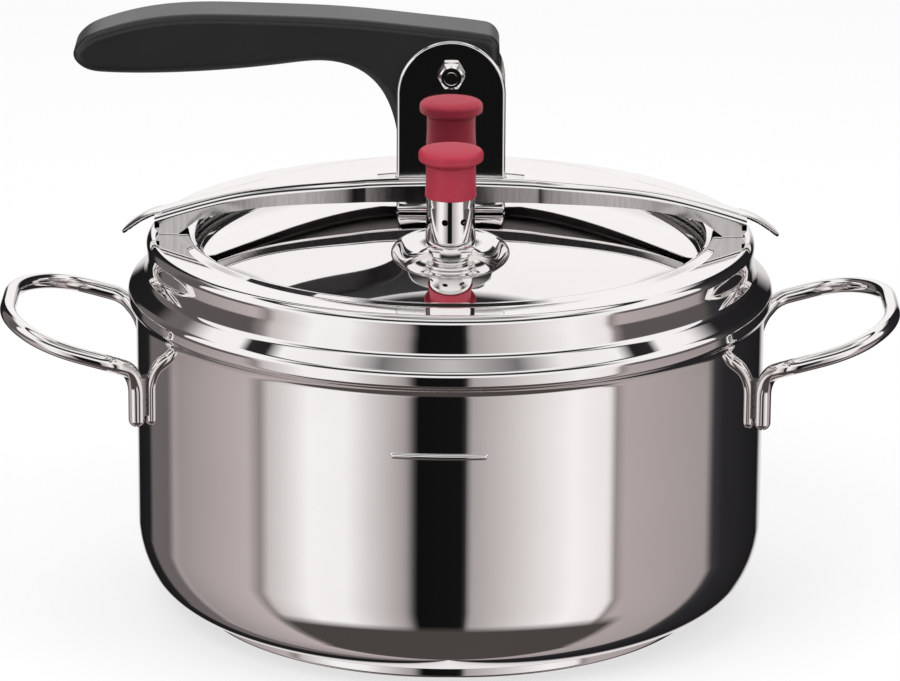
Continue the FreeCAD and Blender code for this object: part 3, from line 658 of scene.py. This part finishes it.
# %% The tree that makes a wire
def wire_tree():
    tree, given = new_tree("wire_on_path", [
        ("Path", "NodeSocketGeometry"), ("Sides", "NodeSocketInt"), ("Finish", "NodeSocketMaterial")])
    curve = add(tree, "GeometryNodeMeshToCurve", {"Mesh": given["Path"]})
    radius = add(tree, "GeometryNodeInputNamedAttribute", {"Name": "wire_radius"}, data_type="FLOAT")
    circle = add(tree, "GeometryNodeCurvePrimitiveCircle", {"Resolution": given["Sides"], "Radius": 1.0})
    body = add(tree, "GeometryNodeCurveToMesh",
               {"Curve": curve.outputs[0], "Profile Curve": circle.outputs[0],
                "Scale": radius.outputs[0], "Fill Caps": True})
    close_tree(tree, body.outputs[0], given["Finish"])
    return tree


WIRE = wire_tree()


def bent(points, radii):
    """Points of a path whose inner corners are rounded by the given radii, in mm."""
    run = [points[0]]
    for before, here, after, size in zip(points, points[1:], points[2:], radii):
        into = (here - before).normalized()
        out = (after - here).normalized()
        turn = into.angle(out)
        start = here - into * size * math.tan(turn / 2)
        inward = (out - into).normalized()
        centre = here + inward * size / math.cos(turn / 2)
        axis = into.cross(out).normalized()
        steps = math.ceil(turn / math.radians(5))
        for k in range(steps + 1):
            run.append(centre + Quaternion(axis, turn * k / steps) @ (start - centre))
    run.append(points[-1])
    return [p for before, p in zip([None] + run, run) if before is None or (p - before).length > 0.05]


def wire_shell(path, radius, slot_name, sides=32):
    """Shell of a round wire with half-ball ends."""
    ends = [(path[0], (path[0] - path[1]).normalized()), (path[-1], (path[-1] - path[-2]).normalized())]
    caps = []
    for spot, outward in ends:
        swings = [math.pi / 2 * k / 8 for k in range(1, 9)]
        caps.append([(spot + outward * radius * math.sin(a), radius * max(math.cos(a), 0.02))
                     for a in swings])
    rows = caps[0][::-1] + [(p, radius) for p in path] + caps[1]
    mesh = run_tree(WIRE, [p for p, r in rows], {"Sides": sides, "Finish": MATERIALS[slot_name]},
                    "wire_radius", [r * MM for p, r in rows])
    return shell_of(mesh)


# %% [markdown]
# ## The pot
#
# The body is drawn from one disc of 1 mm sheet in a few strokes. Then its neck is rolled in and
# its rim is turned flat, so that the lid can be pulled up under it. The fill mark is pressed
# outwards from inside. At this size only its round back catches the light, so it is a short bar
# half sunk in the wall.

# %% The pot's body and its fill mark
BASE_H = 5.0
SHEET = 1.0
POT_R = 112.5
POT_RUN = [
    (0.0, BASE_H, 0), (104.0, BASE_H, 18.0), (POT_R, 23.5, 38.0), (POT_R, 111.0, 5.0),
    (115.2, 113.2, 2.5), (115.2, 118.1, 3.2), (109.1, 122.5, 3.0), (108.4, 128.5, 20.0),
    (108.7, 136.4, 3.2), (96.6, 136.3, 3.0), (93.4, 137.4, 2.0), (90.6, 135.8, 1.8), (90.9, 133.4, 0),
]
MARK_Z, MARK_WIRE_R = 88.0, 1.25
MARK_PATH_R = POT_R - 0.45
MARK_MIDDLE, MARK_HALF = -91.8, 8.0     # degrees round the wall
mark_angles = [math.radians(MARK_MIDDLE + MARK_HALF * k / 12) for k in range(-12, 13)]
mark_path = [Vector((MARK_PATH_R * math.cos(a), MARK_PATH_R * math.sin(a), MARK_Z)) for a in mark_angles]
stand_in("pot_body", [turned_shell(sheet_section(POT_RUN, SHEET), "polished_steel"),
                      wire_shell(mark_path, MARK_WIRE_R, "polished_steel", 16)], "polished_steel", "pot")

# %% [markdown]
# ## The base's cap
#
# A shallow steel dish is bonded under the body, round the aluminium core. It is one closed
# section, with a rounded lower edge that slides over a hob without scratching it.

# %% The base's cap
CAP_R, CAP_SKIN = 92.0, 0.8
CAP_RUN = [(0.0, 0.0, 0), (CAP_R, 0.0, 1.5), (CAP_R, BASE_H, 0.3), (91.25, BASE_H, 0.3),
           (CAP_R - CAP_SKIN, CAP_SKIN, 0.7), (0.0, CAP_SKIN, 0)]
stand_in("base_cap", [turned_shell(rounded(CAP_RUN), "polished_steel")], "polished_steel", "pot")

# %% [markdown]
# ## The side handles
#
# Each handle is one bar of 5.8 mm wire, bent cold and then welded to the wall by its legs. A
# bender works from a card that gives the corners and a radius for each, and so does this cell.
# The wider radii at the outer end make the loop nearly oval, which is kind to a full hand.

# %% The side handles
WIRE_R = 2.9
LEG_Y, LEG_LOW, LEG_HIGH = 31.5, 75.4, 93.0
LEG_X = math.sqrt((POT_R + WIRE_R + 0.05) ** 2 - LEG_Y ** 2)    # the legs just touch the wall
ROOT_X, LOOP_Z, LOOP_SLOPE = 119.5, 99.3, 0.2743
LOOP_CORNERS = [(ROOT_X, 43.0), (141.5, 43.0), (157.9, 22.2)]
LOOP_BENDS = [12.0, 9.0, 25.5, 40.0]
half_path = [Vector((LEG_X, -LEG_Y, LEG_LOW)), Vector((LEG_X, -LEG_Y, LEG_HIGH))]
half_path += [Vector((x, -y, LOOP_Z + LOOP_SLOPE * (x - ROOT_X))) for x, y in LOOP_CORNERS]
right_path = bent(half_path + [Vector((p.x, -p.y, p.z)) for p in reversed(half_path)],
                  LOOP_BENDS + LOOP_BENDS[::-1])
for node, side in (("side_handle_left", -1), ("side_handle_right", 1)):
    path = [Vector((side * p.x, p.y, p.z)) for p in right_path]
    stand_in(node, [wire_shell(path, WIRE_R, "polished_steel")], "polished_steel", "pot")

# %% [markdown]
# ## The lid
#
# The lid is a thin springy dome, pressed from one sheet, with a flat land for the bracket and a
# round well for each valve. Its height is a plain function of the place on it. Rings of points
# close together where a well's wall turns, and far apart on the dome, carry that function.

# %% The lid
WELL_Z = 137.5
VALVE_Y = 48.0
BOWL_START, BOWL_END = 12.9, 20.3       # where a well's wall leaves its floor and meets the dome
RIM_BLUR = 0.4                          # half of the width over which the wall's rim turns
DOME_TOP, DOME_R, LAND_R = 147.5, 257.0, 24.0


def soft_step(value, low, high):
    share = min(max((value - low) / (high - low), 0.0), 1.0)
    return share * share * (3 - 2 * share)


def bowl_area(away):
    """Running sum of a well's cubic wall: differences of it give the wall a small round rim."""
    width = BOWL_END - BOWL_START
    share = min(max((away - BOWL_START) / width, 0.0), 1.0)
    return width * share ** 4 / 4 + max(away - BOWL_END, 0.0)


def lid_height(x, y, sink=0.0):
    """Height of the lid's upper face, or of the face that lies sink mm inside it."""
    r = math.hypot(x, y)
    dome = DOME_TOP - DOME_R + math.sqrt(DOME_R ** 2 - max(r, LAND_R) ** 2)
    away = min(math.hypot(x, y + VALVE_Y), math.hypot(x, y - VALVE_Y)) - sink
    wall = (bowl_area(away + RIM_BLUR) - bowl_area(away - RIM_BLUR)) / (2 * RIM_BLUR)
    return WELL_Z + (dome - WELL_Z) * wall - sink


def lid_normal(x, y):
    step = 0.05
    slope_x = (lid_height(x + step, y) - lid_height(x - step, y)) / (2 * step)
    slope_y = (lid_height(x, y + step) - lid_height(x, y - step)) / (2 * step)
    return Vector((-slope_x, -slope_y, 1.0)).normalized()


def rings(x, y, radii, count):
    return [Vector((x + r * math.cos(math.tau * k / count), y + r * math.sin(math.tau * k / count)))
            for r in radii for k in range(count)]


holes = [(0, -VALVE_Y, 4.05), (0, VALVE_Y, 4.05), (-10, 0, 2.5), (10, 0, 2.5)]
near_well = [4.05, 6, 9, 12, 13.5, 15, 16, 17, 17.8] + [18.4 + 0.25 * k for k in range(16)] + [23.2, 24.6]
plan = [p for v in (-VALVE_Y, VALVE_Y) for p in rings(0, v, near_well, 96)]
plan += rings(-10, 0, [2.5, 4], 24) + rings(10, 0, [2.5, 4], 24)
wide = rings(0, 0, [0.5 + 2.5 * k for k in range(1, 38)] + [95.5, 97.0], 144)
plan += [p for p in wide if min(math.hypot(p.x - x, p.y - y) for x, y, r in holes[:2]) > 26
         and min(math.hypot(p.x - x, p.y - y) for x, y, r in holes[2:]) > 5]
flat = delaunay_2d_cdt(plan, [], [], 0, 1e-5)
plan = flat[0]
faces = []
for face in flat[2]:
    middle = sum((plan[i] for i in face), Vector((0, 0))) / len(face)
    if all(math.hypot(middle.x - x, middle.y - y) > r - 0.02 for x, y, r in holes):
        faces.append(tuple(face))
upper = [Vector((p.x, p.y, lid_height(p.x, p.y))) for p in plan]
lower = [Vector((p.x, p.y, lid_height(p.x, p.y, SHEET))) for p in plan]
lid_shell = thick(upper, lower, faces, [lid_normal(p.x, p.y) for p in plan])
stand_in("lid_disc", [lid_shell], "polished_steel", "lid")

# %% [markdown]
# ## The bridge
#
# The bridge is a channel, bent from sheet: an arched back, two flanges, a foot at each end that
# bears on the rim, and a thin tongue that reaches over the neck. Its half width, its arch and the
# lower edge of its flanges are functions of the distance from the middle, and the rows of the
# mesh are sections through it.

# %% Bridge
BEND = 3.0
BRIDGE_SHEET = 1.8
LEAN = math.radians(5.0)        # the flanges lean outwards, and straighten up towards the feet
SLOT_X = 19.7
SLOT_Y = (12.15, 14.85)
ARCH_TOP, ARCH_R = 160.7, 332.0
MIDDLE_HALF, BELLY, TAPER = 18.0, 2.0, 10.1
FLANGE_Z, FLANGE_FALL = 152.2, 9.9      # the flange's lower edge, and its fall 88 mm out
FOOT_RUN, FOOT_Z = (90, 97, 104), 136.55    # where it drops to the foot, lands and lifts off
FOOT_START_Z = 141.7
END_X = 105.5
TONGUE_X, TONGUE_RUN, TONGUE_HALF, TONGUE_SHEET = 103, 14.5, 4.6, 1.2


def arch(x):
    return ARCH_TOP - ARCH_R + math.sqrt(ARCH_R ** 2 - x * x)


def half_width(x):
    belly = BELLY * min(abs(x) / 30.0, 1.0) ** 2
    return MIDDLE_HALF - belly - TAPER * soft_step(abs(x), 30.0, 84.0)


def flange_low(x):
    x = abs(x)
    drop, land, leave = FOOT_RUN
    if x < drop:
        return FLANGE_Z - FLANGE_FALL * (x / 88.0) ** 2.5
    if x < land:
        return FOOT_START_Z + (FOOT_Z - FOOT_START_Z) * (x - drop) / (land - drop)
    return FOOT_Z + max(x - leave, 0) * 1.48


def slope(rule, x):
    return (rule(x + 0.1) - rule(x - 0.1)) / 0.2


def bridge_row(x):
    """Points and normals of one section, from the near flange over the back to the far one."""
    w = half_width(x)
    top = Vector((-slope(arch, x), 0, 1)).normalized()
    lean = LEAN * (1 - soft_step(abs(x), 55.0, 90.0))
    side = Vector((-slope(half_width, x), 1, math.tan(lean))).normalized()
    fit = 1.0 if abs(x) <= SLOT_X else w / half_width(SLOT_X)
    marks = [0, SLOT_Y[0] * fit / 2, SLOT_Y[0] * fit, SLOT_Y[1] * fit]
    turn = math.pi / 2 - lean
    centre = w - BEND * math.tan(turn / 2)
    start = [math.asin(min(max((y - centre) / BEND, 0), 1)) for y in marks]
    swings = [start[-1] + (turn - start[-1]) * k / 8 for k in range(1, 9)]
    half = [(y, s) for y, s in zip(marks, start)] + [(centre + BEND * math.sin(s), s) for s in swings]
    row = []
    for y, s in half:
        row.append((Vector((x, y, arch(x) - BEND + BEND * math.cos(s))),
                    (top * math.cos(s) + side * math.sin(s)).normalized() if s < turn else side))
    low = flange_low(x)
    row.append((Vector((x, w + (arch(x) - low) * math.tan(lean), low)), side))
    flip = [(Vector((p.x, -p.y, p.z)), Vector((n.x, -n.y, n.z))) for p, n in row[:0:-1]]
    return flip + row


def grid_shell(rows, sheet, gap=lambda i, j: False):
    """Sheet of the given thickness through rows of (point, normal)."""
    wide = len(rows[0])
    outer = [p for row in rows for p, n in row]
    normals = [n for row in rows for p, n in row]
    under = [p - n * sheet for row in rows for p, n in row]
    faces = []
    for i in range(len(rows) - 1):
        for j in range(wide - 1):
            if not gap(i, j):
                a = i * wide + j
                faces.append((a, a + wide, a + wide + 1, a + 1))
    return thick(outer, under, faces, normals)


marked = [END_X, SLOT_X, *FOOT_RUN]
stations = sorted({side * x for side in (-1, 1) for x in marked} | {1.75 * k for k in range(-59, 60)})
bridge_rows = [bridge_row(x) for x in stations]
across = len(bridge_rows[0])
slot_columns = {across // 2 + 2, across // 2 - 3}


def in_slot(i, j):
    return j in slot_columns and -SLOT_X <= stations[i] and stations[i + 1] <= SLOT_X


bridge_shells = [grid_shell(bridge_rows, BRIDGE_SHEET, in_slot)]
for side in (-1, 1):
    section = [p for p, n in bridge_row(END_X)]
    outer = [Vector((side * END_X, side * p.y, p.z)) for p in section]
    under = [p - Vector((side * BRIDGE_SHEET, 0, 0)) for p in outer]
    wall = thick(outer, under, [tuple(reversed(range(len(outer))))], [Vector((side, 0, 0))] * len(outer))
    bridge_shells.append(wall)
    start = arch(TONGUE_X)
    bow = [(TONGUE_X + TONGUE_RUN * k / 20, start - 3.05 * k / 20 - 5.35 * (k / 20) ** 2)
           for k in range(21)]
    rows = []
    for x, z in bow:
        rest = TONGUE_X + TONGUE_RUN - x
        width = TONGUE_HALF
        if rest <= TONGUE_HALF:
            width = math.sqrt(max(TONGUE_HALF ** 2 - (TONGUE_HALF - rest) ** 2, 0.01))
        share = (x - TONGUE_X) / TONGUE_RUN
        tip = Vector((3.05 + 10.7 * share, 0, TONGUE_RUN)).normalized()
        row = []
        for k in range(-6, 7):
            lean = math.radians(70) * (k / 6) ** 5
            n = Vector((tip.x * math.cos(lean), math.sin(lean), tip.z * math.cos(lean)))
            row.append((Vector((side * x, side * width * k / 6, z)), Vector((side * n.x, side * n.y, n.z))))
        rows.append(row)
    bridge_shells.append(grid_shell(rows, TONGUE_SHEET))
cells = [(i, j) for i in range(len(bridge_rows) - 1) for j in range(across - 1) if not in_slot(i, j)]
flanges = [k for k, (i, j) in enumerate(cells) if j in (0, across - 2)]
# The inside faces take the steel darkened as painted shade; the flanges take brushed steel.
inside = range(len(cells), 2 * len(cells))
stand_in("bridge", bridge_shells, "polished_steel", "bridge", [(SHADED_CHANNEL, inside), (BRUSHED, flanges)])

# %% [markdown]
# ## The operating valve
#
# Steam leaves through a ring of drilled holes in the sleeve. The cap is silicone, moulded over
# the sleeve's stepped top, with a thin flange to lift it by.

# %% Sleeve, cap and stem
SLEEVE_RUN = [(7.7, WELL_Z + 4.3, 0.2), (8.8, WELL_Z + 8.6, 12.0), (8.4, WELL_Z + 22.0, 20.0),
              (8.4, WELL_Z + 26.0, 0.3),
              (7.3, WELL_Z + 26.0, 0.2), (7.3, WELL_Z + 37.0, 0.2), (6.5, WELL_Z + 37.0, 0.2),
              (6.5, WELL_Z + 25.2, 0.2), (7.6, WELL_Z + 25.2, 0.2), (7.6, WELL_Z + 22.0, 20.0),
              (8.0, WELL_Z + 8.6, 11.0), (7.0, WELL_Z + 4.5, 0.2)]


def drilled(shell, slot_name):
    """The sleeve with its ring of holes, cut by drills that a small tree sets round the axis."""
    points, sleeve_faces, normals = shell
    mesh = bpy.data.meshes.new("sleeve")
    mesh.from_pydata([p * MM for p in points], [], sleeve_faces)
    holder = bpy.data.objects.new("sleeve", mesh)
    scene.collection.objects.link(holder)
    tree, given = new_tree("ring_of_drills", [
        ("Geometry", "NodeSocketGeometry"), ("Holes", "NodeSocketInt"),
        ("First Angle", "NodeSocketFloat"), ("Drill Radius", "NodeSocketFloat"),
        ("Reach", "NodeSocketFloat"), ("Height", "NodeSocketFloat"), ("Axis Y", "NodeSocketFloat"),
        ("Finish", "NodeSocketMaterial")])
    circle = add(tree, "GeometryNodeMeshLine", {"Count": given["Holes"], "Offset": (0, 0, 0)})
    index = add(tree, "GeometryNodeInputIndex").outputs[0]
    turn = math_node(tree, "DIVIDE", math.tau, given["Holes"])
    angle = math_node(tree, "MULTIPLY_ADD", index, turn, given["First Angle"])
    drill = add(tree, "GeometryNodeMeshCylinder",
                {"Vertices": 24, "Radius": given["Drill Radius"], "Depth": given["Reach"]})
    half = math_node(tree, "DIVIDE", given["Reach"], 2.0)
    offset = add(tree, "ShaderNodeCombineXYZ", {"X": half})
    lying = add(tree, "GeometryNodeTransform",
                {"Geometry": drill.outputs[0], "Translation": offset.outputs[0],
                 "Rotation": (0, math.pi / 2, 0)})
    spin = add(tree, "ShaderNodeCombineXYZ", {"Z": angle})
    placed = add(tree, "GeometryNodeInstanceOnPoints",
                 {"Points": circle.outputs[0], "Instance": lying.outputs[0], "Rotation": spin.outputs[0]})
    lift = add(tree, "ShaderNodeCombineXYZ", {"Y": given["Axis Y"], "Z": given["Height"]})
    real = add(tree, "GeometryNodeRealizeInstances", {"Geometry": placed.outputs[0]})
    moved = add(tree, "GeometryNodeTransform", {"Geometry": real.outputs[0], "Translation": lift.outputs[0]})
    cut = add(tree, "GeometryNodeMeshBoolean", {0: given["Geometry"], 1: moved.outputs[0]},
              operation="DIFFERENCE", solver="EXACT")
    close_tree(tree, cut.outputs[0], given["Finish"])
    return grown(holder, tree, {
        "Holes": 8, "First Angle": math.radians(31.5), "Drill Radius": 1.15 * MM, "Reach": 12 * MM,
        "Height": (WELL_Z + 17.6) * MM, "Axis Y": -VALVE_Y * MM, "Finish": MATERIALS[slot_name]})


sleeve_section = rounded(SLEEVE_RUN, True)
sleeve_shell = turned_shell(sleeve_section, "polished_steel", 96, -VALVE_Y)
sleeve_mesh = drilled(sleeve_shell, "polished_steel")
corner_normals = []
for face in sleeve_mesh.polygons:
    for i in face.vertices:
        spot = sleeve_mesh.vertices[i].co / MM
        across = Vector((spot.x, spot.y + VALVE_Y))
        here = Vector((across.length, spot.z))
        flat_normal = min(sleeve_section, key=lambda item: (item[0] - here).length)[1]
        out = across.normalized() * flat_normal.x
        wanted = Vector((out.x, out.y, flat_normal.y))
        corner_normals.append(wanted if wanted.dot(face.normal) > 0.7 else face.normal.copy())
sleeve_mesh.shade_smooth()
sleeve_mesh.normals_split_custom_set(corner_normals)
sleeve = bpy.data.objects.new("valve_sleeve_drilled", sleeve_mesh)
scene.collection.objects.link(sleeve)
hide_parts("valve_sleeve")
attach(sleeve, "weight")
print(sleeve.name, len(sleeve_mesh.polygons), "faces")

STEM_RUN = [(1.5, WELL_Z - 8.5, 0.3), (4.0, WELL_Z - 8.5, 0.5), (4.0, WELL_Z, 0.2), (8.5, WELL_Z, 0.5),
            (8.5, WELL_Z + 1.2, 0.4), (5.2, WELL_Z + 1.2, 0.2), (5.2, WELL_Z + 1.8, 0.2),
            (6.5, WELL_Z + 1.8, 0.3), (6.5, WELL_Z + 2.6, 0.3), (5.2, WELL_Z + 2.6, 0.1),
            (5.2, WELL_Z + 3.0, 0.1), (6.5, WELL_Z + 3.0, 0.3), (6.5, WELL_Z + 3.8, 0.3),
            (5.2, WELL_Z + 3.8, 0.2), (5.2, WELL_Z + 5.4, 0.5), (3.6, WELL_Z + 5.4, 0.3),
            (3.2, WELL_Z + 14.0, 0.1), (2.4, WELL_Z + 14.0, 0.1), (1.5, WELL_Z + 12.8, 0.3)]
stand_in("valve_stem", [turned_shell(rounded(STEM_RUN, True), "polished_steel", 96, -VALVE_Y)],
         "polished_steel", "lid")

CAP_TOP = WELL_Z + 42.6
CAP_SECTION = [(0, WELL_Z + 37.0, 0), (7.3, WELL_Z + 37.0, 0.2), (7.3, WELL_Z + 26.0, 0.2),
               (8.4, WELL_Z + 26.0, 0.2), (8.4, WELL_Z + 25.0, 0.2), (9.0, WELL_Z + 25.0, 0.4),
               (8.65, WELL_Z + 31.0, 40.0), (8.7, WELL_Z + 36.4, 0.3), (8.3, WELL_Z + 36.9, 0.3),
               (8.9, WELL_Z + 37.4, 0.3), (11.3, WELL_Z + 38.0, 1.1), (11.3, WELL_Z + 41.6, 1.6),
               (8.0, CAP_TOP - 0.2, 20.0), (0, CAP_TOP, 0)]
stand_in("valve_cap", [turned_shell(rounded(CAP_SECTION), "red_silicone", 96, -VALVE_Y)],
         "red_silicone", "weight")

# %% [markdown]
# ## The safety valve's spring
#
# A small spring holds the safety plunger down. It is wound from 0.7 mm wire in five turns. In the
# real valve its coils close up as the plunger lifts; here the spring is made at rest only.

# %% Spring
COIL_R, COIL_WIRE_R, COILS = 2.7, 0.35, 5
COIL_LOW, COIL_HIGH = WELL_Z + 5.1, WELL_Z + 11.0
coil_path = []
for k in range(36 * COILS + 1):
    swing = math.tau * k / 36
    rise_z = COIL_LOW + (COIL_HIGH - COIL_LOW) * k / (36 * COILS)
    coil_path.append(Vector((COIL_R * math.cos(swing), VALVE_Y + COIL_R * math.sin(swing), rise_z)))
spring = stand_in("safety_spring", [wire_shell(coil_path, COIL_WIRE_R, "satin_steel", 12)],
                  "satin_steel", "lid")
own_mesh(spring)
